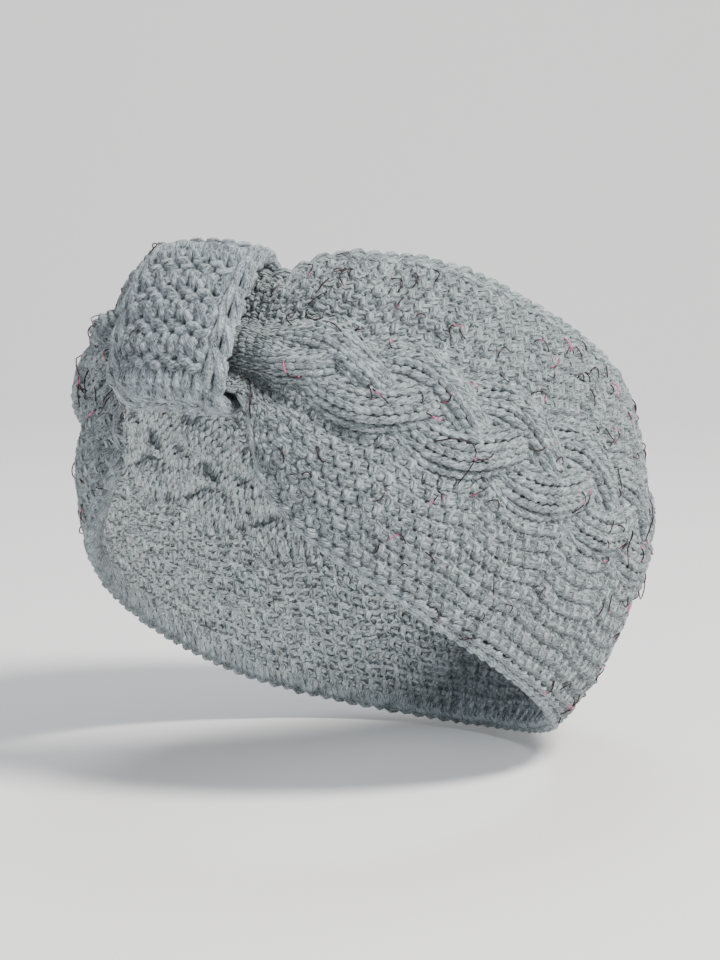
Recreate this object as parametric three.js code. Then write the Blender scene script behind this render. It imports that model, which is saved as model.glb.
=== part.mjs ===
// Ear warmer headband: a wide knitted band with a plait along its middle, gathered at the front by a
// knitted keeper that is wrapped round it. Millimetres, +Z up. The wearer looks towards -Y, and the
// origin is in the middle of the hollow that the head fills. The band is worn high at the front.
import * as THREE from "three";

// The loop round the head, measured on the band's outer face along the middle of the plait.
const loopHalfLength = 100;
const loopHalfWidth = 83.5;
const frontNarrowing = 0.055;
const frontFlattening = 0.07;
const wornTilt = 26;
const sideDrop = 2.4;

// The band's cross-section: how far it reaches above and below the middle of the plait, the radius
// of its bulge from edge to edge, and its lean in degrees at the front and at the back.
const reachAbove = 52;
const reachBelow = 67;
const bulgeRadius = 100;
const leanFront = -1.5;
const leanBack = 8.6;
const bandWall = 6.2;

// The plait: half its width, the strands' half width, how high the strands stand, and how far the
// knitting between them is sunk.
const plaitHalfWidth = 18.5;
const strandHalfWidth = 8;
const strandRise = 3;
const strandWeave = 1.4;
const plaitSink = 1.6;
const plaitRepeats = 6;
const plaitStart = 0.2;

// The folds on both sides of the plait, where the keeper gathers the band.
const foldDepth = 5.5;
const foldHalfWidth = 5;
const upperFoldShare = 0.6;
const foldOutside = 2.5;

// The chain of edge stitches along both long edges of the band.
const edgeChainWidth = 5;
const edgeChainRise = 0.8;

// The keeper: its half width along the band, its wall, the clearance to the band inside it, the
// rounding of its loop, and its ridges of garter stitch.
const keeperHalfWidth = 22;
const keeperWall = 4.4;
const keeperClearance = 0.5;
const keeperCorner = 5.5;
const keeperCrown = 1.6;
const keeperRidges = 17;
const keeperRidgeRise = 0.9;

// Faces in each direction.
const stepsPerRepeat = 20;
const lowerPanelColumns = 6;
const plaitColumns = 12;
const upperPanelColumns = 5;
const edgeColumns = 3;
const innerColumns = 7;
const stepsPerRidge = 4;
const keeperFaceColumns = 5;
const keeperEdgeColumns = 3;

const yarnGrey = 0x8f999d;
const yarnGreyDeep = 0x838d92;

// Sections of one side of the band, by degrees round the head from the front. above and below are
// shares of the reaches, plait of the plait's half width, bulge of its radius, fold of the folds'
// depth and rise of the strands' height. The other side is the same.
const sections = [
  { at: 0, above: 0.49, below: 0.22, plait: 0.4, bulge: 0.47, fold: 1, rise: 0.1 },
  { at: 17, above: 0.5, below: 0.26, plait: 0.42, bulge: 0.55, fold: 1, rise: 0.15 },
  { at: 25, above: 0.7, below: 0.62, plait: 0.62, bulge: 0.65, fold: 0.85, rise: 0.8 },
  { at: 38, above: 0.83, below: 0.765, plait: 0.84, bulge: 0.81, fold: 0.55, rise: 1 },
  { at: 60, above: 0.97, below: 0.865, plait: 0.97, bulge: 0.97, fold: 0.2, rise: 1 },
  { at: 90, above: 1, below: 0.94, plait: 1, bulge: 1, fold: 0, rise: 1 },
  { at: 130, above: 0.95, below: 1, plait: 1, bulge: 1, fold: 0, rise: 1 },
  { at: 180, above: 0.9, below: 0.98, plait: 1, bulge: 1, fold: 0, rise: 1 },
];

const radians = THREE.MathUtils.degToRad;
const degrees = THREE.MathUtils.radToDeg;
const lerp = THREE.MathUtils.lerp;

// The slope of one column at each row, chosen so that the curve through the rows never overshoots.
function slopesOf(name) {
  const steps = sections.slice(1).map((row, i) => {
    return (row[name] - sections[i][name]) / (row.at - sections[i].at);
  });
  return sections.map((row, i) => {
    const before = steps[i - 1] ?? 0;
    const after = steps[i] ?? 0;
    return before * after <= 0 ? 0 : (2 * before * after) / (before + after);
  });
}

const slopes = {};
for (const name of Object.keys(sections[0])) slopes[name] = slopesOf(name);

// One column's value at an angle round the head, in degrees from the front to either side.
function sectionValue(name, angle) {
  const at = Math.min(Math.abs(angle), 180);
  const last = sections.length - 2;
  const i = Math.min(last, sections.findLastIndex((row) => row.at <= at));
  const gap = sections[i + 1].at - sections[i].at;
  const t = (at - sections[i].at) / gap;
  const start = (1 + 2 * t) * (1 - t) ** 2 * sections[i][name];
  const end = t * t * (3 - 2 * t) * sections[i + 1][name];
  const leave = t * (1 - t) ** 2 * gap * slopes[name][i];
  const arrive = t * t * (t - 1) * gap * slopes[name][i + 1];
  return start + end + leave + arrive;
}

// A point of the loop's plan, at an angle in radians from the front.
function planPoint(angle) {
  const sine = Math.sin(angle);
  const cosine = Math.cos(angle);
  const flatter = (frontFlattening * (1 + cosine)) / 2;
  const x = loopHalfWidth * sine * (1 - frontNarrowing * cosine);
  const y = -loopHalfLength * cosine * (1 + flatter * sine * sine);
  return new THREE.Vector2(x, y);
}

// The outward direction of the loop's plan, square to a short chord through the point.
const chordHalfAngle = 0.002;

function planOutward(angle) {
  const before = planPoint(angle - chordHalfAngle);
  const after = planPoint(angle + chordHalfAngle);
  return new THREE.Vector2(after.y - before.y, before.x - after.x).normalize();
}

// Degrees from the front to the nearer side.
function fromFront(angle) {
  return Math.abs(degrees(Math.atan2(Math.sin(angle), Math.cos(angle))));
}

// A point on the knitting: an angle round the head in radians, a distance across the band from the
// middle of the plait, and a lift off the band's outer face.
function bandPoint(angle, across, lift) {
  const radius = bulgeRadius * sectionValue("bulge", fromFront(angle));
  const lean = radians(lerp(leanFront, leanBack, (1 - Math.cos(angle)) / 2));
  const turn = across / radius + lean;
  const out = radius * (Math.cos(turn) - Math.cos(lean)) + lift * Math.cos(turn);
  const up = radius * (Math.sin(turn) - Math.sin(lean)) + lift * Math.sin(turn);
  const plan = planPoint(angle).addScaledVector(planOutward(angle), out);
  const height = up + sideDrop * Math.cos(2 * angle);
  const point = new THREE.Vector3(plan.x, plan.y, height);
  return point.applyAxisAngle(new THREE.Vector3(1, 0, 0), radians(-wornTilt));
}

// Lengths along the loop from the front, at even angles, to place the plait by length.
const lengthSteps = 720;
const lengths = [0];
for (let i = 1; i <= lengthSteps; i++) {
  const a = planPoint((2 * Math.PI * (i - 1)) / lengthSteps);
  const b = planPoint((2 * Math.PI * i) / lengthSteps);
  lengths.push(lengths[i - 1] + a.distanceTo(b));
}
const loopLength = lengths[lengthSteps];

// The angle round the head at a length along the loop, both 0 at the front.
function angleAt(length) {
  const distance = Math.abs(length);
  const i = Math.min(lengthSteps - 1, lengths.findLastIndex((l) => l <= distance));
  const t = (distance - lengths[i]) / (lengths[i + 1] - lengths[i]);
  return (Math.sign(length) * 2 * Math.PI * (i + t)) / lengthSteps;
}

// The height of the three strands of the plait, each passing over inwards and under outwards.
function plaitLift(share, across, halfWidth, rise) {
  let lift = 0;
  const swing = halfWidth - (strandHalfWidth * halfWidth) / plaitHalfWidth;
  for (let strand = 0; strand < 3; strand++) {
    const turn = 2 * Math.PI * (plaitRepeats * share + plaitStart + strand / 3);
    const middle = swing * Math.sin(turn);
    const offset = (across - middle) / (strandHalfWidth * (halfWidth / plaitHalfWidth));
    if (Math.abs(offset) < 1) {
      const over = -strandWeave * Math.sin(2 * turn);
      const crown = Math.cos((Math.PI / 2) * offset);
      lift = Math.max(lift, (strandRise + over) * crown);
    }
  }
  const sink = Math.abs(across) < halfWidth ? Math.cos(((Math.PI / 2) * across) / halfWidth) : 0;
  return (lift - plaitSink * sink) * rise;
}

// The depth of the two folds beside the plait.
function foldLift(across, halfWidth, fold) {
  const middle = halfWidth + foldOutside * (halfWidth / plaitHalfWidth);
  const lower = Math.exp(-(((across + middle) / foldHalfWidth) ** 2));
  const upper = Math.exp(-(((across - middle) / foldHalfWidth) ** 2));
  return -foldDepth * fold * (lower + upperFoldShare * upper);
}

// The chain of edge stitches stands a little proud of the panel.
function edgeLift(across, below, above) {
  const inset = Math.min(across + below, above - across);
  if (inset >= edgeChainWidth) return 0;
  return edgeChainRise * Math.sin((Math.PI * inset) / edgeChainWidth);
}

// Even stations from a to b, without the last.
function stations(a, b, count) {
  return Array.from({ length: count }, (_, i) => lerp(a, b, i / count));
}

// One closed section of the band's wall: up the outer face, over the top edge, down the inner face
// and round the bottom edge.
function bandSection(share) {
  const angle = angleAt(share * loopLength);
  const at = fromFront(angle);
  const above = reachAbove * sectionValue("above", at);
  const below = reachBelow * sectionValue("below", at);
  const halfPlait = plaitHalfWidth * sectionValue("plait", at);
  const fold = sectionValue("fold", at);
  const rise = sectionValue("rise", at);
  const halfWall = bandWall / 2;
  const low = -below + halfWall;
  const high = above - halfWall;
  const foldAt = (across) => foldLift(across, halfPlait, fold);
  const point = (across, lift) => bandPoint(angle, across, lift + foldAt(across));
  const outer = [
    ...stations(low, -halfPlait, lowerPanelColumns),
    ...stations(-halfPlait, halfPlait, plaitColumns),
    ...stations(halfPlait, high, upperPanelColumns),
  ];
  const points = outer.map((across) => {
    const chain = edgeLift(across, below, above);
    return point(across, plaitLift(share, across, halfPlait, rise) + chain);
  });
  for (const turn of stations(0, Math.PI, edgeColumns)) {
    points.push(point(high + halfWall * Math.sin(turn), -halfWall * (1 - Math.cos(turn))));
  }
  for (const across of stations(high, low, innerColumns)) points.push(point(across, -bandWall));
  for (const turn of stations(0, Math.PI, edgeColumns)) {
    points.push(point(low - halfWall * Math.sin(turn), -halfWall * (1 + Math.cos(turn))));
  }
  return points;
}

// The hole through the keeper: a rounded rectangle across the band (x) and off its face (y).
function keeperHole() {
  const edge = degrees(angleAt(keeperHalfWidth));
  const strands = (strandRise + strandWeave) * sectionValue("rise", edge);
  const folds = foldDepth * sectionValue("fold", 0);
  const top = reachAbove * sectionValue("above", edge) + keeperClearance;
  const bottom = -reachBelow * sectionValue("below", edge) - keeperClearance;
  const highest = Math.max(strands, edgeChainRise) + keeperClearance;
  const lowest = -bandWall - folds - keeperClearance;
  const hole = new THREE.Path();
  hole.moveTo(top, lowest + keeperCorner);
  hole.absarc(top - keeperCorner, highest - keeperCorner, keeperCorner, 0, Math.PI / 2);
  hole.absarc(bottom + keeperCorner, highest - keeperCorner, keeperCorner, Math.PI / 2, Math.PI);
  hole.absarc(bottom + keeperCorner, lowest + keeperCorner, keeperCorner, Math.PI, 1.5 * Math.PI);
  hole.absarc(top - keeperCorner, lowest + keeperCorner, keeperCorner, 1.5 * Math.PI, 2 * Math.PI);
  return hole;
}

// One closed section of the keeper's wall, at a share of the way round its loop: along the outer
// face, round one side edge, back along the inner face and round the other.
function keeperSection(hole, share) {
  const start = hole.getPointAt(share);
  const along = hole.getTangentAt(share);
  const outward = new THREE.Vector2(along.y, -along.x);
  const ridge = (keeperRidgeRise * (1 + Math.cos(2 * Math.PI * keeperRidges * share))) / 2;
  const halfWall = keeperWall / 2;
  const side = keeperHalfWidth - halfWall;
  const point = (width, lift) => {
    const place = start.clone().addScaledVector(outward, lift);
    return bandPoint(angleAt(width), place.x, place.y);
  };
  const points = stations(-side, side, keeperFaceColumns).map((width) => {
    const crown = keeperCrown * (1 - (width / side) ** 2);
    return point(width, keeperWall + crown + ridge);
  });
  for (const turn of stations(0, Math.PI, keeperEdgeColumns)) {
    points.push(point(side + halfWall * Math.sin(turn), halfWall * (1 + Math.cos(turn))));
  }
  for (const width of stations(side, -side, keeperFaceColumns)) points.push(point(width, 0));
  for (const turn of stations(0, Math.PI, keeperEdgeColumns)) {
    points.push(point(-side - halfWall * Math.sin(turn), halfWall * (1 - Math.cos(turn))));
  }
  return points;
}

// A closed skin over closed sections, with the last section joined to the first.
function skin(rings) {
  const count = rings[0].length;
  const index = [];
  for (let i = 0; i < rings.length; i++) {
    const next = (i + 1) % rings.length;
    for (let j = 0; j < count; j++) {
      const up = (j + 1) % count;
      const a = i * count + j;
      const b = next * count + j;
      const c = next * count + up;
      const d = i * count + up;
      index.push(a, b, c, a, c, d);
    }
  }
  const geometry = new THREE.BufferGeometry().setFromPoints(rings.flat());
  geometry.setIndex(index);
  geometry.computeVertexNormals();
  return geometry;
}

function buildBand() {
  const steps = plaitRepeats * stepsPerRepeat;
  const rings = stations(0, 1, steps).map(bandSection);
  const material = new THREE.MeshStandardMaterial({
    color: yarnGrey,
    roughness: 0.95,
    metalness: 0,
  });
  const band = new THREE.Mesh(skin(rings), material);
  band.name = "band";
  return band;
}

function buildKeeper() {
  const hole = keeperHole();
  const steps = keeperRidges * stepsPerRidge;
  const rings = stations(0, 1, steps).map((share) => keeperSection(hole, share));
  const material = new THREE.MeshStandardMaterial({
    color: yarnGreyDeep,
    roughness: 0.95,
    metalness: 0,
  });
  const keeper = new THREE.Mesh(skin(rings), material);
  keeper.name = "keeper";
  return keeper;
}

const group = new THREE.Group();
group.add(buildBand(), buildKeeper());

export default group;
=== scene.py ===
"""Looks of the ear warmer headband: a knitted band with a plait, gathered by a knitted keeper.

The band and the keeper are knitted here row by row. Each row is one length of yarn that runs across
the strip in loops, and each loop hangs in the one before it. Sizes are in millimetres and turn into
metres where the meshes are made. +Z is up and the gathered front faces -Y.
"""

import math

import bpy
import numpy as np
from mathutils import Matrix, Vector


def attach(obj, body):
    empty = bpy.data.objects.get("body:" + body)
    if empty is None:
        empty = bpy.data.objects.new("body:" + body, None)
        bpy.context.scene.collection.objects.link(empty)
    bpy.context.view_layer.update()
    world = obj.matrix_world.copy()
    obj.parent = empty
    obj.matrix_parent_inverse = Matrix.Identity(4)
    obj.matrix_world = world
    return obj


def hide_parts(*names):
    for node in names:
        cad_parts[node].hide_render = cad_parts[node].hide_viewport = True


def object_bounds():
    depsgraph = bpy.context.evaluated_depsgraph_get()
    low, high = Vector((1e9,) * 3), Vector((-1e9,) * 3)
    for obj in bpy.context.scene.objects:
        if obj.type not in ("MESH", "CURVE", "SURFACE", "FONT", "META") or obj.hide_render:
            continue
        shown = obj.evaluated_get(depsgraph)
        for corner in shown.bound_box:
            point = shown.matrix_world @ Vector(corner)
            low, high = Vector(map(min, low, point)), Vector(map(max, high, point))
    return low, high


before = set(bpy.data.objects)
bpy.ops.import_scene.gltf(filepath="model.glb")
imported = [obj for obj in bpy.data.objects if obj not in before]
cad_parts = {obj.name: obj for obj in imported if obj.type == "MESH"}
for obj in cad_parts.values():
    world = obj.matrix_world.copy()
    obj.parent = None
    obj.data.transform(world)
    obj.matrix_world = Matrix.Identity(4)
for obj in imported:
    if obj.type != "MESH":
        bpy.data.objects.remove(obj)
bounds_at_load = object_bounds()

bl_info = {
    "name": "Knitted ear warmer headband",
    "version": (1, 0, 0),
    "blender": (4, 5, 0),
    "location": "View3D > Sidebar > Headband",
    "description": "Knits the headband's yarn over its frame and sets the stage for it",
    "category": "Object",
}

# The band's loop, on its outer face along the middle of the plait.
LOOP_HALF_LENGTH = 100.0
LOOP_HALF_WIDTH = 83.5
FRONT_NARROWING = 0.055
FRONT_FLATTENING = 0.07
WORN_TILT = 26.0
SIDE_DROP = 2.4

# The band's cross-section.
REACH_ABOVE = 52.0
REACH_BELOW = 67.0
BULGE_RADIUS = 100.0
LEAN_FRONT = -1.5
LEAN_BACK = 8.6
BAND_WALL = 6.2

# The plait.
PLAIT_HALF_WIDTH = 18.5
STRAND_HALF_WIDTH = 8.0
STRAND_RISE = 3.0
STRAND_WEAVE = 1.4
STRAND_DIVE = 2.2
PLAIT_SINK = 1.6
PLAIT_REPEATS = 6
PLAIT_START = 0.2

# The folds beside the plait.
FOLD_DEPTH = 5.5
FOLD_HALF_WIDTH = 5.0
UPPER_FOLD_SHARE = 0.6
FOLD_OUTSIDE = 2.5

# The keeper's loop.
KEEPER_HALF_WIDTH = 22.0
KEEPER_WALL = 4.4
KEEPER_CLEARANCE = 0.5
KEEPER_CORNER = 5.5
KEEPER_CROWN = 1.6
EDGE_CHAIN_RISE = 0.8

# Sections of one side of the band, by degrees from the front, as shares of the sizes above.
COLUMNS = ("at", "above", "below", "plait", "bulge", "fold", "rise")
SECTIONS = np.array(
    [
        (0, 0.49, 0.22, 0.4, 0.47, 1, 0.1),
        (17, 0.5, 0.26, 0.42, 0.55, 1, 0.15),
        (25, 0.7, 0.62, 0.62, 0.65, 0.85, 0.8),
        (38, 0.83, 0.765, 0.84, 0.81, 0.55, 1),
        (60, 0.97, 0.865, 0.97, 0.97, 0.2, 1),
        (90, 1, 0.94, 1, 1, 0, 1),
        (130, 0.95, 1, 1, 1, 0, 1),
        (180, 0.9, 0.98, 1, 1, 0, 1),
    ]
)

# The knitting: nine wales of seed stitch, nine of plait in three strands, seven of seed stitch.
LOWER_WALES = 9
STRAND_WALES = 3
UPPER_WALES = 7
WALES = LOWER_WALES + 3 * STRAND_WALES + UPPER_WALES
SECTORS = 6
ROWS_IN_SECTOR = 36
ROWS = SECTORS * ROWS_IN_SECTOR
SAMPLES = 12
FULL_THICKNESS_WALE = 4.3
THINNEST_YARN_SHARE = 0.5

# How unevenly a hand knits: a row's advance in rows, and shifts across and through in millimetres.
BAND_UNEVEN_ADVANCE = 0.05
BAND_UNEVEN_ACROSS = 0.12
BAND_UNEVEN_LIFT = 0.2
KEEPER_UNEVEN_ADVANCE = 0.04
KEEPER_UNEVEN_ACROSS = 0.1

# The keeper's knitting stands a little off its inner face, and its ridges a little off the rest.
KEEPER_SEAT = 0.6
KEEPER_RIDGE = 0.7
KEEPER_EXTRA_SAMPLES = 2

# The filament keeps this far from the band's edges and from the keeper's middle.
FILAMENT_EDGE_INSET = 3
FILAMENT_FRONT_GAP = 22
FILAMENT_SINK = 0.7

# Half the chord that a direction is taken over: an angle round the loop, a share of the keeper.
PLAN_HALF_CHORD = 0.002
KEEPER_HALF_CHORD = 0.012

# Noise sizes in the materials, in patches for each metre.
YARN_PATCHES = 260.0
FILAMENT_GLINT_PATCHES = 240.0
PAPER_GRAIN = 900.0


def slopes_of(column):
    """The slope of one column at each row of the table, so that its curve never overshoots."""
    at = SECTIONS[:, 0]
    steps = np.diff(SECTIONS[:, column]) / np.diff(at)
    before = np.r_[0, steps]
    after = np.r_[steps, 0]
    product = before * after
    total = np.where(product > 0, before + after, 1)
    return np.where(product > 0, 2 * product / total, 0)


SLOPES = [slopes_of(column) for column in range(len(COLUMNS))]


def section(name, degrees):
    """One column's value at degrees from the front."""
    column = COLUMNS.index(name)
    at = np.clip(np.abs(degrees), 0, 180)
    rows = SECTIONS[:, 0]
    i = np.clip(np.searchsorted(rows, at, "right") - 1, 0, len(rows) - 2)
    gap = rows[i + 1] - rows[i]
    t = (at - rows[i]) / gap
    start = (1 + 2 * t) * (1 - t) ** 2 * SECTIONS[i, column]
    end = t * t * (3 - 2 * t) * SECTIONS[i + 1, column]
    leave = t * (1 - t) ** 2 * gap * SLOPES[column][i]
    arrive = t * t * (t - 1) * gap * SLOPES[column][i + 1]
    return start + end + leave + arrive


def plan_point(angle):
    """A point of the loop's plan, at an angle in radians from the front."""
    sine = np.sin(angle)
    cosine = np.cos(angle)
    flatter = FRONT_FLATTENING * (1 + cosine) / 2
    x = LOOP_HALF_WIDTH * sine * (1 - FRONT_NARROWING * cosine)
    y = -LOOP_HALF_LENGTH * cosine * (1 + flatter * sine**2)
    return x, y


def from_front(angle):
    return np.degrees(np.abs(np.arctan2(np.sin(angle), np.cos(angle))))


def band_point(angle, across, lift):
    """A point on the knitting: angle round the loop, distance across the band, lift off its face."""
    x, y = plan_point(angle)
    x_after, y_after = plan_point(angle + PLAN_HALF_CHORD)
    x_before, y_before = plan_point(angle - PLAN_HALF_CHORD)
    chord = np.hypot(x_after - x_before, y_after - y_before)
    out_x = (y_after - y_before) / chord
    out_y = (x_before - x_after) / chord
    radius = BULGE_RADIUS * section("bulge", from_front(angle))
    lean = np.radians(LEAN_FRONT + (LEAN_BACK - LEAN_FRONT) * (1 - np.cos(angle)) / 2)
    turn = across / radius + lean
    out = radius * (np.cos(turn) - np.cos(lean)) + lift * np.cos(turn)
    up = radius * (np.sin(turn) - np.sin(lean)) + lift * np.sin(turn)
    x = x + out_x * out
    y = y + out_y * out
    z = up + SIDE_DROP * np.cos(2 * angle)
    tilt = math.radians(-WORN_TILT)
    level_y = y * math.cos(tilt) - z * math.sin(tilt)
    level_z = y * math.sin(tilt) + z * math.cos(tilt)
    return np.stack(np.broadcast_arrays(x, level_y, level_z), -1)


PLAN_ANGLES = np.linspace(-2 * np.pi, 4 * np.pi, 4321)
PLAN_X, PLAN_Y = plan_point(PLAN_ANGLES)
LENGTHS = np.r_[0, np.cumsum(np.hypot(np.diff(PLAN_X), np.diff(PLAN_Y)))]
LENGTHS = LENGTHS - np.interp(0, PLAN_ANGLES, LENGTHS)
LOOP_LENGTH = float(np.interp(2 * np.pi, PLAN_ANGLES, LENGTHS))


def angle_at(length):
    """The angle round the loop at a length along it, both 0 at the front."""
    return np.interp(length, LENGTHS, PLAN_ANGLES)


def strand_turn(length, strand):
    return 2 * np.pi * (PLAIT_REPEATS * length / LOOP_LENGTH + PLAIT_START + strand / 3)


def strand_middle(length, half_plait, strand):
    share = half_plait / PLAIT_HALF_WIDTH
    return (half_plait - STRAND_HALF_WIDTH * share) * np.sin(strand_turn(length, strand))


def strand_lift(length, strand, offset, rise):
    """How high a strand stands, at an offset of -1 to 1 across it. Under another, it dives."""
    over = -STRAND_WEAVE * np.sin(2 * strand_turn(length, strand))
    over = np.where(over < 0, STRAND_DIVE * over, over)
    crown = 1 - 0.85 * np.abs(np.clip(offset, -1, 1)) ** 2.2
    return ((STRAND_RISE + over) * crown - PLAIT_SINK) * rise


def fold_lift(across, half_plait, fold):
    middle = half_plait + FOLD_OUTSIDE * half_plait / PLAIT_HALF_WIDTH
    lower = np.exp(-(((across + middle) / FOLD_HALF_WIDTH) ** 2))
    upper = np.exp(-(((across - middle) / FOLD_HALF_WIDTH) ** 2))
    return -FOLD_DEPTH * fold * (lower + UPPER_FOLD_SHARE * upper)


def smooth_step(low, high, value):
    t = np.clip((value - low) / (high - low), 0, 1)
    return t * t * (3 - 2 * t)


def soften(values, times=2):
    """Evens out steps along each row's yarn."""
    for _ in range(times):
        padded = np.pad(values, ((0, 0), (2, 2)), mode="edge")
        count = values.shape[1]
        parts = [padded[:, i : i + count] for i in range(5)]
        values = (parts[0] + 4 * parts[1] + 6 * parts[2] + 4 * parts[3] + parts[4]) / 16
    return values


def loop_height(kinds, next_kinds, turn):
    """Depth of the yarn through the knitting, -1 to 1: a loop's foot follows its own stitch, knit or
    purl, and its head follows the stitch of the next row that hangs in it."""
    early = np.minimum(turn, 2 * np.pi - turn)
    head = smooth_step(1.25, 1.9, early)
    left = np.concatenate([kinds[:, :1], kinds[:, :-1]], 1)
    right = np.concatenate([kinds[:, 1:], kinds[:, -1:]], 1)
    beside = np.where(turn < np.pi, left, right)
    foot = 0.5 * (1 - smooth_step(0, 0.9, early))
    own = kinds * (1 - foot) + beside * foot
    return -np.cos(2 * turn) * (own * (1 - head) + next_kinds * head)


def edge_reach(rows, wales, last):
    """Marks the long edge loops, slipped every second row, and the short turns between them."""
    edge = (wales == 0) | (wales == last)
    return edge & (rows % 2 == 0), edge & (rows % 2 == 1)


def loop_advance(rows, wales, last, turn, reach):
    """How far along the strip the yarn stands, in rows, round each loop."""
    long_loop, short_turn = edge_reach(rows, wales, last)
    advance = -reach * np.cos(turn)
    advance = np.where(long_loop, 0.5 - 1.6 * reach * np.cos(turn), advance)
    return np.where(short_turn, -reach * (0.5 + 0.45 * np.cos(turn)), advance)


def band_rows(first, yarn, chance):
    """The yarn of one sector's rows: points, outward points and radii, one line per row."""
    count = ROWS_IN_SECTOR
    rows = (first + np.arange(count))[:, None, None]
    wales = np.arange(WALES)[None, :, None]
    turn = ((np.arange(SAMPLES) + 0.5) / SAMPLES * 2 * np.pi)[None, None, :]

    def kinds_of(some_rows):
        seed = np.where((some_rows + wales) % 2 == 0, 1.0, -1.0)
        plait = (wales >= LOWER_WALES) & (wales < LOWER_WALES + 3 * STRAND_WALES)
        edge = (wales == 0) | (wales == WALES - 1)
        return np.where(plait | edge, 1.0, seed)

    depth = yarn.loop_depth * loop_height(kinds_of(rows), kinds_of(rows + 1), turn)
    advance = loop_advance(rows, wales, WALES - 1, turn, yarn.loop_reach)
    advance = advance + BAND_UNEVEN_ADVANCE * chance.normal(0, 1, (count, WALES, 1))
    length = (rows + 0.5 + advance) * LOOP_LENGTH / ROWS
    angle = angle_at(length)
    degrees = from_front(angle)
    above = REACH_ABOVE * section("above", degrees) - yarn.diameter / 2
    below = REACH_BELOW * section("below", degrees) - yarn.diameter / 2
    half_plait = PLAIT_HALF_WIDTH * section("plait", degrees)
    rise = section("rise", degrees)
    strand_half = STRAND_HALF_WIDTH * half_plait / PLAIT_HALF_WIDTH
    middles = np.stack([strand_middle(length, half_plait, k) for k in range(3)])
    lowest = middles.min(0) - strand_half
    highest = middles.max(0) + strand_half

    across = np.zeros(length.shape)
    lift = np.zeros(length.shape)
    width = np.zeros(length.shape)
    step = turn / (2 * np.pi)
    lower = slice(0, LOWER_WALES)
    width[:, lower] = (lowest + below)[:, lower] / LOWER_WALES
    across[:, lower] = (-below + width * (wales + step))[:, lower]
    top = LOWER_WALES + 3 * STRAND_WALES
    upper = slice(top, WALES)
    width[:, upper] = (above - highest)[:, upper] / UPPER_WALES
    across[:, upper] = (highest + width * (wales - top + step))[:, upper]
    row_middles = [
        strand_middle((rows[:, :, 0] + 0.5) * LOOP_LENGTH / ROWS, PLAIT_HALF_WIDTH, k)
        for k in range(3)
    ]
    order = np.argsort(np.concatenate(row_middles, 1), 1)
    for place in range(3):
        for wale in range(STRAND_WALES):
            index = LOWER_WALES + place * STRAND_WALES + wale
            strand = order[:, place][:, None]
            middle = np.take_along_axis(middles[:, :, index], strand[None], 0)[0]
            offset = (2 * (wale + step[0]) / STRAND_WALES - 1) * np.ones((count, 1))
            across[:, index] = middle + offset * strand_half[:, index]
            width[:, index] = 2 * strand_half[:, index] / STRAND_WALES
            lift[:, index] = strand_lift(length[:, index], strand, offset, rise[:, index])

    across = across + BAND_UNEVEN_ACROSS * chance.normal(0, 1, (count, WALES, 1))
    lift = lift + BAND_UNEVEN_LIFT * chance.normal(0, 1, (count, WALES, 1))
    line = (count, WALES * SAMPLES)
    across = soften(across.reshape(line))
    lift = soften(lift.reshape(line))
    width = soften(width.reshape(line))
    length = soften(length.reshape(line), 1)
    angle = angle_at(length)
    degrees = from_front(angle)
    sway = yarn.loop_sway * width * np.sin(2 * np.broadcast_to(turn, depth.shape)).reshape(line)
    half_plait = PLAIT_HALF_WIDTH * section("plait", degrees)
    fold = fold_lift(across, half_plait, section("fold", degrees))
    middle = -yarn.loop_depth - yarn.diameter / 2
    lift = lift + fold + middle + depth.reshape(line)
    points = band_point(angle, across + sway, lift)
    outward = band_point(angle, across + sway, lift + 0.5) - points
    thickness = np.clip(width / FULL_THICKNESS_WALE, THINNEST_YARN_SHARE, 1)
    radius = yarn.diameter / 2 * thickness
    return points, outward, radius


def keeper_hole():
    """The hole through the keeper as a closed line of across and lift, with its lengths."""
    edge = from_front(angle_at(KEEPER_HALF_WIDTH))
    strands = (STRAND_RISE + STRAND_WEAVE) * section("rise", edge)
    top = REACH_ABOVE * section("above", edge) + KEEPER_CLEARANCE
    bottom = -REACH_BELOW * section("below", edge) - KEEPER_CLEARANCE
    highest = max(float(strands), EDGE_CHAIN_RISE) + KEEPER_CLEARANCE
    lowest = -BAND_WALL - FOLD_DEPTH - KEEPER_CLEARANCE
    corners = (
        (top - KEEPER_CORNER, highest - KEEPER_CORNER, 0),
        (bottom + KEEPER_CORNER, highest - KEEPER_CORNER, 0.5),
        (bottom + KEEPER_CORNER, lowest + KEEPER_CORNER, 1),
        (top - KEEPER_CORNER, lowest + KEEPER_CORNER, 1.5),
    )
    line = []
    for x, y, start in corners:
        for angle in np.linspace(start, start + 0.5, 13) * np.pi:
            line.append((x + KEEPER_CORNER * math.cos(angle), y + KEEPER_CORNER * math.sin(angle)))
    line = np.array(line + line[:1])
    lengths = np.r_[0, np.cumsum(np.linalg.norm(np.diff(line, axis=0), axis=1))]
    return line, lengths / lengths[-1]


KEEPER_LINE, KEEPER_SHARES = keeper_hole()


def keeper_point(width, share, lift):
    """A point on the keeper: width along the band, share round its loop, lift off its inner face."""

    def on_line(at):
        x = np.interp(at % 1, KEEPER_SHARES, KEEPER_LINE[:, 0])
        y = np.interp(at % 1, KEEPER_SHARES, KEEPER_LINE[:, 1])
        return x, y

    x, y = on_line(share)
    x_after, y_after = on_line(share + KEEPER_HALF_CHORD)
    x_before, y_before = on_line(share - KEEPER_HALF_CHORD)
    chord = np.hypot(x_after - x_before, y_after - y_before)
    out_x = (y_after - y_before) / chord
    out_y = (x_before - x_after) / chord
    return band_point(angle_at(width), x + out_x * lift, y + out_y * lift)


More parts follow.
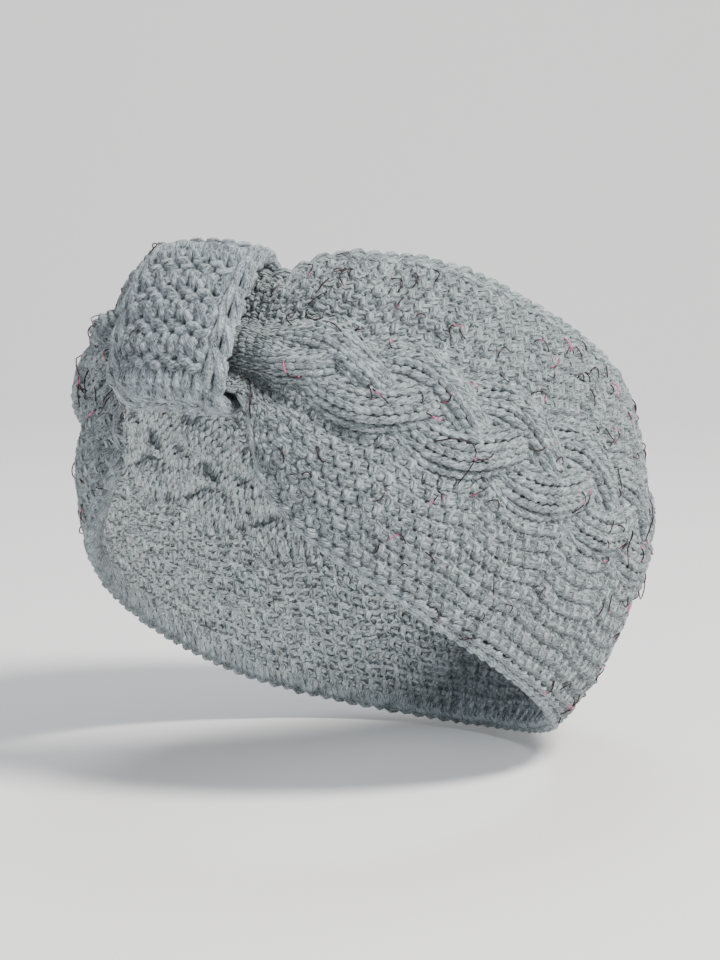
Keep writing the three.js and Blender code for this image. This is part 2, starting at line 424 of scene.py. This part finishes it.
def keeper_rows(yarn, chance):
    """The yarn of the keeper's rows, knitted in garter stitch from side to side."""
    rows = np.arange(yarn.rows)[:, None, None]
    wales = np.arange(yarn.wales)[None, :, None]
    samples = SAMPLES + KEEPER_EXTRA_SAMPLES
    turn = ((np.arange(samples) + 0.5) / samples * 2 * np.pi)[None, None, :]

    def kinds_of(some_rows):
        edge = (wales == 0) | (wales == yarn.wales - 1)
        return np.where(edge, 1.0, np.where(some_rows % 2 == 0, 1.0, -1.0))

    depth = yarn.loop_depth * loop_height(kinds_of(rows), kinds_of(rows + 1), turn)
    advance = loop_advance(rows, wales, yarn.wales - 1, turn, yarn.loop_reach)
    uneven = chance.normal(0, 1, (yarn.rows, yarn.wales, 1))
    advance = advance + KEEPER_UNEVEN_ADVANCE * uneven
    line = (yarn.rows, yarn.wales * samples)
    share = soften(((rows + 0.5 + advance) / yarn.rows).reshape(line), 1)
    half = KEEPER_HALF_WIDTH - yarn.diameter / 2
    pitch = 2 * half / yarn.wales
    width = -half + pitch * (wales + turn / (2 * np.pi))
    uneven = chance.normal(0, 1, (yarn.rows, yarn.wales, 1))
    width = width + KEEPER_UNEVEN_ACROSS * uneven
    width = soften(width.reshape(line))
    sway = yarn.loop_sway * pitch * np.sin(2 * np.broadcast_to(turn, depth.shape)).reshape(line)
    crown = KEEPER_CROWN * (1 - np.clip(width / half, -1, 1) ** 2)
    ridge = KEEPER_RIDGE * np.cos(2 * np.pi * share * yarn.rows / 2)
    lift = KEEPER_WALL / 2 + KEEPER_SEAT + crown + ridge + depth.reshape(line)
    points = keeper_point(width + sway, share, lift)
    outward = keeper_point(width + sway, share, lift + 0.5) - points
    return points, outward, np.full(line, yarn.diameter / 2)


def unit(vectors):
    return vectors / np.maximum(np.linalg.norm(vectors, axis=-1, keepdims=True), 1e-9)


def tube_object(name, points, outward, radius, sides):
    """One mesh of capped tubes, one for each line of points. UVs run along and round the yarn."""
    count, steps = points.shape[:2]
    tangent = unit(np.gradient(points, axis=1))
    side = unit(np.cross(tangent, outward))
    up = np.cross(side, tangent)
    turn = np.arange(sides) / sides * 2 * np.pi
    ring = up[:, :, None] * np.cos(turn)[:, None] + side[:, :, None] * np.sin(turn)[:, None]
    vertices = (points[:, :, None] + radius[:, :, None, None] * ring) * 0.001
    ids = np.arange(count * steps * sides).reshape(count, steps, sides)
    here = ids[:, :-1]
    ahead = ids[:, 1:]
    quads = np.stack([here, np.roll(here, -1, 2), np.roll(ahead, -1, 2), ahead], -1)
    quads = quads.reshape(-1, 4)
    caps = np.concatenate([ids[:, 0, ::-1], ids[:, -1]])
    faces = quads.tolist() + caps.tolist()
    mesh = bpy.data.meshes.new(name)
    mesh.from_pydata(vertices.reshape(-1, 3).tolist(), [], faces)

    gaps = np.linalg.norm(np.diff(points, axis=1), axis=2)
    along = np.concatenate([np.zeros((count, 1)), np.cumsum(gaps, 1)], 1)
    start = np.broadcast_to(along[:, :-1, None], here.shape)
    end = np.broadcast_to(along[:, 1:, None], here.shape)
    low = np.broadcast_to(np.arange(sides) / sides, here.shape)
    high = low + 1 / sides
    line = np.broadcast_to(np.arange(count)[:, None, None], here.shape)
    lengthwise = np.stack([start, start, end, end], -1).ravel()
    roundwise = np.stack([low, high, high, low], -1).ravel()
    lines = np.repeat(line.ravel(), 4)
    ends = caps.size
    lengthwise = np.r_[lengthwise, np.zeros(ends)]
    roundwise = np.r_[roundwise, np.zeros(ends)]
    lines = np.r_[lines, np.repeat(np.tile(np.arange(count), 2), sides)]
    yarn_map = mesh.uv_layers.new(name="Yarn")
    yarn_map.data.foreach_set("uv", np.stack([lengthwise, roundwise], 1).astype("f").ravel())
    bake_map = mesh.uv_layers.new(name="OFBake")
    baked = np.stack([lengthwise / along.max(), (lines + 0.05 + 0.9 * roundwise) / count], 1)
    bake_map.data.foreach_set("uv", baked.astype("f").ravel())
    mesh.polygons.foreach_set("use_smooth", np.ones(len(mesh.polygons), bool))
    mesh.update()
    made = bpy.data.objects.new(name, mesh)
    bpy.context.scene.collection.objects.link(made)
    return made


def colour(code):
    """A linear colour from an sRGB hex code."""
    parts = [int(code[i : i + 2], 16) / 255 for i in (1, 3, 5)]
    linear = [p / 12.92 if p <= 0.04045 else ((p + 0.055) / 1.055) ** 2.4 for p in parts]
    return (*linear, 1)


def add_node(tree, kind, inputs=None, links=None, **settings):
    """Adds a node with its settings, its input values and its incoming links."""
    made = tree.nodes.new(kind)
    for name, value in settings.items():
        setattr(made, name, value)
    for name, value in (inputs or {}).items():
        made.inputs[name].default_value = value
    for name, source in (links or {}).items():
        tree.links.new(source, made.inputs[name])
    return made


def new_material(name):
    material = bpy.data.materials.new(name)
    material.use_nodes = True
    tree = material.node_tree
    tree.nodes.clear()
    return material, tree


def spun_yarn(name, dark, light, plies=4, ply_pitch=5.5):
    """A soft wool and acrylic yarn. Its plies are twisted together, which shows as slanted lines
    across each loop. Its colour is partly its own uneven tone and partly painted light, laid by
    noise:
    fine pale streaks are painted highlights where brushed fibres catch the light, and the dark end
    is painted shade between the plies."""
    material, tree = new_material(name)
    yarn_uv = add_node(tree, "ShaderNodeUVMap", uv_map="Yarn")
    split = add_node(tree, "ShaderNodeSeparateXYZ", links={"Vector": yarn_uv.outputs[0]})
    along = add_node(
        tree,
        "ShaderNodeMath",
        {1: 2 * math.pi / ply_pitch},
        {0: split.outputs["X"]},
        operation="MULTIPLY",
    )
    turned = add_node(
        tree,
        "ShaderNodeMath",
        {1: 2 * math.pi * plies},
        {0: split.outputs["Y"], 2: along.outputs[0]},
        operation="MULTIPLY_ADD",
    )
    ply = add_node(tree, "ShaderNodeMath", links={0: turned.outputs[0]}, operation="SINE")
    stretched = add_node(
        tree,
        "ShaderNodeCombineXYZ",
        links={"X": along.outputs[0], "Y": turned.outputs[0]},
    )
    # Noise stretched along the yarn: it gives the bump its fibres and the colour its pale streaks,
    # which are painted highlights.
    fibres = add_node(
        tree,
        "ShaderNodeTexNoise",
        {"Scale": 1.1, "Detail": 4.0, "Roughness": 0.65},
        {"Vector": stretched.outputs[0]},
    )
    place = add_node(tree, "ShaderNodeTexCoord")
    patches = add_node(
        tree,
        "ShaderNodeTexNoise",
        {"Scale": YARN_PATCHES, "Detail": 2.0},
        {"Vector": place.outputs["Object"]},
    )
    height = add_node(
        tree,
        "ShaderNodeMath",
        {1: 1.3},
        {0: fibres.outputs["Fac"], 2: ply.outputs[0]},
        operation="MULTIPLY_ADD",
    )
    bump = add_node(
        tree,
        "ShaderNodeBump",
        {"Strength": 0.9, "Distance": 0.0005},
        {"Height": height.outputs[0]},
    )
    blend = add_node(
        tree,
        "ShaderNodeMath",
        {1: 0.35},
        {0: patches.outputs["Fac"], 2: fibres.outputs["Fac"]},
        operation="MULTIPLY_ADD",
    )
    # The colour ramp paints the yarn's tone: the dark end is partly painted shade between the plies,
    # the light end partly painted highlight on the fibres.
    ramp = add_node(tree, "ShaderNodeValToRGB", links={"Fac": blend.outputs[0]})
    ramp.color_ramp.elements[0].position = 0.54
    ramp.color_ramp.elements[0].color = dark
    ramp.color_ramp.elements[1].position = 0.84
    ramp.color_ramp.elements[1].color = light
    surface = add_node(
        tree,
        "ShaderNodeBsdfPrincipled",
        {
            "Roughness": 0.85,
            "Sheen Weight": 0.35,
            "Sheen Roughness": 0.45,
            "Specular IOR Level": 0.25,
        },
        {"Base Color": ramp.outputs["Color"], "Normal": bump.outputs["Normal"]},
    )
    add_node(tree, "ShaderNodeOutputMaterial", links={"Surface": surface.outputs[0]})
    return material


def metallic_filament(name):
    """A thin dark red foil thread spun in with the yarn, with painted pink glints where short turns
    of it catch the light.
    """
    material, tree = new_material(name)
    place = add_node(tree, "ShaderNodeTexCoord")
    # Spots of noise mark the painted pink glints.
    turns = add_node(
        tree,
        "ShaderNodeTexNoise",
        {"Scale": FILAMENT_GLINT_PATCHES, "Detail": 1.0},
        {"Vector": place.outputs["Object"]},
    )
    # The ramp paints the thread's own dark red, with pink as a painted highlight.
    ramp = add_node(tree, "ShaderNodeValToRGB", links={"Fac": turns.outputs["Fac"]})
    ramp.color_ramp.elements[0].position = 0.58
    ramp.color_ramp.elements[0].color = colour("#2a1017")
    ramp.color_ramp.elements[1].position = 0.66
    ramp.color_ramp.elements[1].color = colour("#e86a98")
    surface = add_node(
        tree,
        "ShaderNodeBsdfPrincipled",
        {"Roughness": 0.35, "Metallic": 0.35},
        {"Base Color": ramp.outputs["Color"]},
    )
    add_node(tree, "ShaderNodeOutputMaterial", links={"Surface": surface.outputs[0]})
    return material


def painted_paper(name):
    """Smooth matt background paper, in one roll, with no seam."""
    material, tree = new_material(name)
    grain = add_node(tree, "ShaderNodeTexNoise", {"Scale": PAPER_GRAIN})
    bump = add_node(
        tree,
        "ShaderNodeBump",
        {"Strength": 0.05, "Distance": 0.0002},
        {"Height": grain.outputs["Fac"]},
    )
    surface = add_node(
        tree,
        "ShaderNodeBsdfPrincipled",
        {"Base Color": colour("#fafafa"), "Roughness": 0.9},
        {"Normal": bump.outputs["Normal"]},
    )
    add_node(tree, "ShaderNodeOutputMaterial", links={"Surface": surface.outputs[0]})
    return material


class BandYarnSettings(bpy.types.PropertyGroup):
    diameter: bpy.props.FloatProperty(
        name="Diameter", description="Thickness of the band's yarn in millimetres", default=2.55
    )
    loop_reach: bpy.props.FloatProperty(
        name="Loop reach", description="Half the height of a loop, in rows", default=0.95
    )
    loop_depth: bpy.props.FloatProperty(
        name="Loop depth", description="Half the yarn's travel through the knitting", default=1.6
    )
    loop_sway: bpy.props.FloatProperty(
        name="Loop sway", description="How far a loop's legs close in, in wales", default=0.18
    )
    seed: bpy.props.IntProperty(name="Seed", description="Unevenness of the hand", default=7)
    # The ends of the yarn's colour ramp: besides the yarn's own uneven tone, the dark is painted
    # shade between the plies and the light is painted highlight on brushed fibres.
    dark: bpy.props.FloatVectorProperty(
        name="Dark",
        description="The yarn between its plies",
        size=4,
        subtype="COLOR",
        default=colour("#38454b"),
    )
    light: bpy.props.FloatVectorProperty(
        name="Light",
        description="The yarn's brushed fibres",
        size=4,
        subtype="COLOR",
        default=colour("#ccdbe1"),
    )


class KeeperYarnSettings(bpy.types.PropertyGroup):
    diameter: bpy.props.FloatProperty(
        name="Diameter", description="Thickness of the keeper's yarn in millimetres", default=3.5
    )
    rows: bpy.props.IntProperty(name="Rows", description="Rows round the keeper", default=24)
    wales: bpy.props.IntProperty(name="Wales", description="Stitches across it", default=7)
    loop_reach: bpy.props.FloatProperty(
        name="Loop reach", description="Half the height of a loop, in rows", default=0.82
    )
    loop_depth: bpy.props.FloatProperty(
        name="Loop depth", description="Half the yarn's travel through the knitting", default=1.5
    )
    loop_sway: bpy.props.FloatProperty(
        name="Loop sway", description="How far a loop's legs close in, in wales", default=0.2
    )
    seed: bpy.props.IntProperty(name="Seed", description="Unevenness of the hand", default=11)
    # The ends of the yarn's colour ramp: besides the yarn's own uneven tone, the dark is painted
    # shade between the plies and the light is painted highlight on brushed fibres.
    dark: bpy.props.FloatVectorProperty(
        name="Dark",
        description="The yarn between its plies",
        size=4,
        subtype="COLOR",
        default=colour("#364248"),
    )
    light: bpy.props.FloatVectorProperty(
        name="Light",
        description="The yarn's brushed fibres",
        size=4,
        subtype="COLOR",
        default=colour("#c4d3db"),
    )


class FilamentSettings(bpy.types.PropertyGroup):
    hairs: bpy.props.IntProperty(name="Hairs", description="Short ends that show", default=330)
    loops: bpy.props.IntProperty(name="Loops", description="Longer loose turns", default=14)
    thickness: bpy.props.FloatProperty(
        name="Thickness", description="Thickness of the thread in millimetres", default=0.4
    )
    seed: bpy.props.IntProperty(name="Seed", description="Where they lie", default=23)


class StageSettings(bpy.types.PropertyGroup):
    distance: bpy.props.FloatProperty(
        name="Distance", description="From the lens to the middle", default=0.9, unit="LENGTH"
    )
    azimuth: bpy.props.FloatProperty(
        name="Azimuth",
        description="Towards +X from the front",
        default=math.radians(36.3),
        subtype="ANGLE",
    )
    elevation: bpy.props.FloatProperty(
        name="Elevation", description="Above level", default=math.radians(7), subtype="ANGLE"
    )
    lens: bpy.props.FloatProperty(
        name="Lens", description="Focal length in millimetres", default=109.1
    )


class HEADBAND_OT_band(bpy.types.Operator):
    """Knits the band in six sectors round the loop"""

    bl_idname = "headband.band"
    bl_label = "Knit the band"

    def execute(self, context):
        yarn = context.scene.headband_band
        chance = np.random.default_rng(yarn.seed)
        material = spun_yarn("wool_acrylic_band_yarn", yarn.dark, yarn.light)
        for sector in range(SECTORS):
            points, outward, radius = band_rows(sector * ROWS_IN_SECTOR, yarn, chance)
            piece = tube_object(f"band_knit_{sector + 1}", points, outward, radius, 6)
            piece.data.materials.append(material)
            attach(piece, "root")
            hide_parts("band")
        return {"FINISHED"}


class HEADBAND_OT_keeper(bpy.types.Operator):
    """Knits the keeper in garter stitch round the gathered front"""

    bl_idname = "headband.keeper"
    bl_label = "Knit the keeper"

    def execute(self, context):
        yarn = context.scene.headband_keeper
        chance = np.random.default_rng(yarn.seed)
        points, outward, radius = keeper_rows(yarn, chance)
        piece = tube_object("keeper_knit", points, outward, radius, 8)
        piece.data.materials.append(
            spun_yarn("wool_acrylic_keeper_yarn", yarn.dark, yarn.light, ply_pitch=6.0)
        )
        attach(piece, "root")
        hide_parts("keeper")
        return {"FINISHED"}


class HEADBAND_OT_filament(bpy.types.Operator):
    """Lays the ends and loose turns of the metallic filament over the yarn"""

    bl_idname = "headband.filament"
    bl_label = "Lay the filament"

    def execute(self, context):
        settings = context.scene.headband_filament
        chance = np.random.default_rng(settings.seed)
        count = settings.hairs + settings.loops
        steps = 9
        t = np.linspace(-1, 1, steps)[None]
        loose = (np.arange(count) >= settings.hairs)[:, None]
        long_size = chance.uniform(6, 12, (count, 1))
        short_size = chance.uniform(1.2, 3.6, (count, 1))
        size = np.where(loose, long_size, short_size)
        bend = chance.uniform(-1, 1, (count, 1)) * np.where(loose, 1.6, 1.0)
        facing = chance.uniform(0, np.pi, (count, 1))
        curve_x = size * t
        curve_y = size * bend * (t**2 - 0.4)
        middle = chance.uniform(FILAMENT_FRONT_GAP, LOOP_LENGTH - FILAMENT_FRONT_GAP, (count, 1))
        length = middle + curve_x * np.cos(facing) - curve_y * np.sin(facing)
        degrees = from_front(angle_at(length))
        above = REACH_ABOVE * section("above", degrees) - FILAMENT_EDGE_INSET
        below = REACH_BELOW * section("below", degrees) - FILAMENT_EDGE_INSET
        near_plait = chance.uniform(0.35, 0.8, (count, 1))
        anywhere = chance.uniform(0, 1, (count, 1))
        share = np.where(loose, near_plait, anywhere)
        across = -below + (above + below) * share
        across = across + curve_x * np.sin(facing) + curve_y * np.cos(facing)
        across = np.clip(across, -below, above)
        half_plait = PLAIT_HALF_WIDTH * section("plait", degrees)
        strand_half = STRAND_HALF_WIDTH * half_plait / PLAIT_HALF_WIDTH
        rise = section("rise", degrees)
        lift = np.zeros(length.shape)
        for strand in range(3):
            offset = (across - strand_middle(length, half_plait, strand)) / strand_half
            height = strand_lift(length, strand, offset, rise)
            lift = np.where(np.abs(offset) < 1, np.maximum(lift, height), lift)
        lift = lift + fold_lift(across, half_plait, section("fold", degrees))
        arch = (1 - t**2) * np.where(loose, 1.8, 0.85)
        lift = lift - FILAMENT_SINK + arch + chance.uniform(-0.3, 0.3, (count, 1))
        angle = angle_at(length)
        points = band_point(angle, across, lift)
        outward = band_point(angle, across, lift + 0.5) - points
        radius = np.full((count, steps), settings.thickness / 2)
        piece = tube_object("filament", points, outward, radius, 4)
        piece.data.materials.append(metallic_filament("metallic_foil_filament"))
        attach(piece, "root")
        return {"FINISHED"}


def area_light(name, place, target, size, power, tint):
    light = bpy.data.lights.new(name, "AREA")
    light.shape = "DISK"
    light.size = size
    light.energy = power
    light.color = colour(tint)[:3]
    made = bpy.data.objects.new(name, light)
    made.location = place
    made.rotation_euler = (Vector(target) - Vector(place)).to_track_quat("-Z", "Y").to_euler()
    bpy.context.scene.collection.objects.link(made)
    return made


class HEADBAND_OT_stage(bpy.types.Operator):
    """Sets the paper background, the soft lights and the camera"""

    bl_idname = "headband.stage"
    bl_label = "Set the stage"

    def execute(self, context):
        settings = context.scene.headband_stage
        away = Vector((-math.sin(settings.azimuth), math.cos(settings.azimuth), 0))
        right = Vector((math.cos(settings.azimuth), math.sin(settings.azimuth), 0))
        floor_z = bounds_at_load[0][2] - 0.001
        profile = [(-1.2, 0.0), (1.0, 0.0)]
        for i in range(1, 13):
            turn = i / 12 * math.pi / 2
            profile.append((1.0 + 0.6 * math.sin(turn), 0.6 - 0.6 * math.cos(turn)))
        profile.append((1.6, 2.4))
        vertices = []
        for depth, height in profile:
            for side in (-2.5, 2.5):
                vertices.append(away * depth + right * side + Vector((0, 0, floor_z + height)))
        faces = [(2 * i, 2 * i + 1, 2 * i + 3, 2 * i + 2) for i in range(len(profile) - 1)]
        mesh = bpy.data.meshes.new("backdrop")
        mesh.from_pydata(vertices, [], faces)
        mesh.polygons.foreach_set("use_smooth", [True] * len(faces))
        backdrop = bpy.data.objects.new("backdrop", mesh)
        backdrop.data.materials.append(painted_paper("background_paper"))
        context.scene.collection.objects.link(backdrop)

        key_place = right * 0.75 - away * 0.7 + Vector((0, 0, 1.15))
        fill_place = right * -1.1 - away * 0.6 + Vector((0, 0, 0.35))
        back_place = away * 0.7 + Vector((0, 0, 1.2))
        key = area_light("key_light", key_place, (0, 0, 0), 0.4, 40, "#fffaf4")
        fill = area_light("fill_light", fill_place, (0, 0, 0), 0.9, 1.5, "#f2f6ff")
        back = area_light("back_light", back_place, (0, 0, 0), 0.6, 6, "#f6f8ff")

        world = bpy.data.worlds.new("studio")
        world.use_nodes = True
        background = world.node_tree.nodes["Background"]
        background.inputs["Color"].default_value = colour("#f3f5f8")
        background.inputs["Strength"].default_value = 0.5
        context.scene.world = world

        lens = bpy.data.cameras.new("camera")
        lens.lens = settings.lens
        lens.sensor_width = 36
        lens.shift_x = -0.0058
        lens.shift_y = -0.0203
        camera = bpy.data.objects.new("camera", lens)
        level = math.cos(settings.elevation) * settings.distance
        height = math.sin(settings.elevation) * settings.distance
        camera.location = away * -level + Vector((0, 0, height))
        camera.rotation_euler = (-camera.location).to_track_quat("-Z", "Y").to_euler()
        context.scene.collection.objects.link(camera)
        context.scene.camera = camera
        return {"FINISHED"}


class HEADBAND_PT_panel(bpy.types.Panel):
    bl_idname = "HEADBAND_PT_panel"
    bl_label = "Headband"
    bl_space_type = "VIEW_3D"
    bl_region_type = "UI"
    bl_category = "Headband"

    def draw(self, context):
        for operator, settings in STEPS:
            box = self.layout.box()
            group = getattr(context.scene, settings)
            for name in group.__annotations__:
                box.prop(group, name)
            box.operator(operator)


STEPS = (
    ("headband.band", "headband_band"),
    ("headband.keeper", "headband_keeper"),
    ("headband.filament", "headband_filament"),
    ("headband.stage", "headband_stage"),
)
SETTINGS = {
    "headband_band": BandYarnSettings,
    "headband_keeper": KeeperYarnSettings,
    "headband_filament": FilamentSettings,
    "headband_stage": StageSettings,
}
OPERATORS = (HEADBAND_OT_band, HEADBAND_OT_keeper, HEADBAND_OT_filament, HEADBAND_OT_stage)
CLASSES = (*SETTINGS.values(), *OPERATORS, HEADBAND_PT_panel)


def register():
    for kind in CLASSES:
        bpy.utils.register_class(kind)
    for name, kind in SETTINGS.items():
        setattr(bpy.types.Scene, name, bpy.props.PointerProperty(type=kind))


def unregister():
    for name in SETTINGS:
        delattr(bpy.types.Scene, name)
    for kind in reversed(CLASSES):
        bpy.utils.unregister_class(kind)


def main():
    register()
    bpy.ops.headband.band()
    bpy.ops.headband.keeper()
    bpy.ops.headband.filament()
    bpy.ops.headband.stage()


if __name__ == "__main__":
    main()
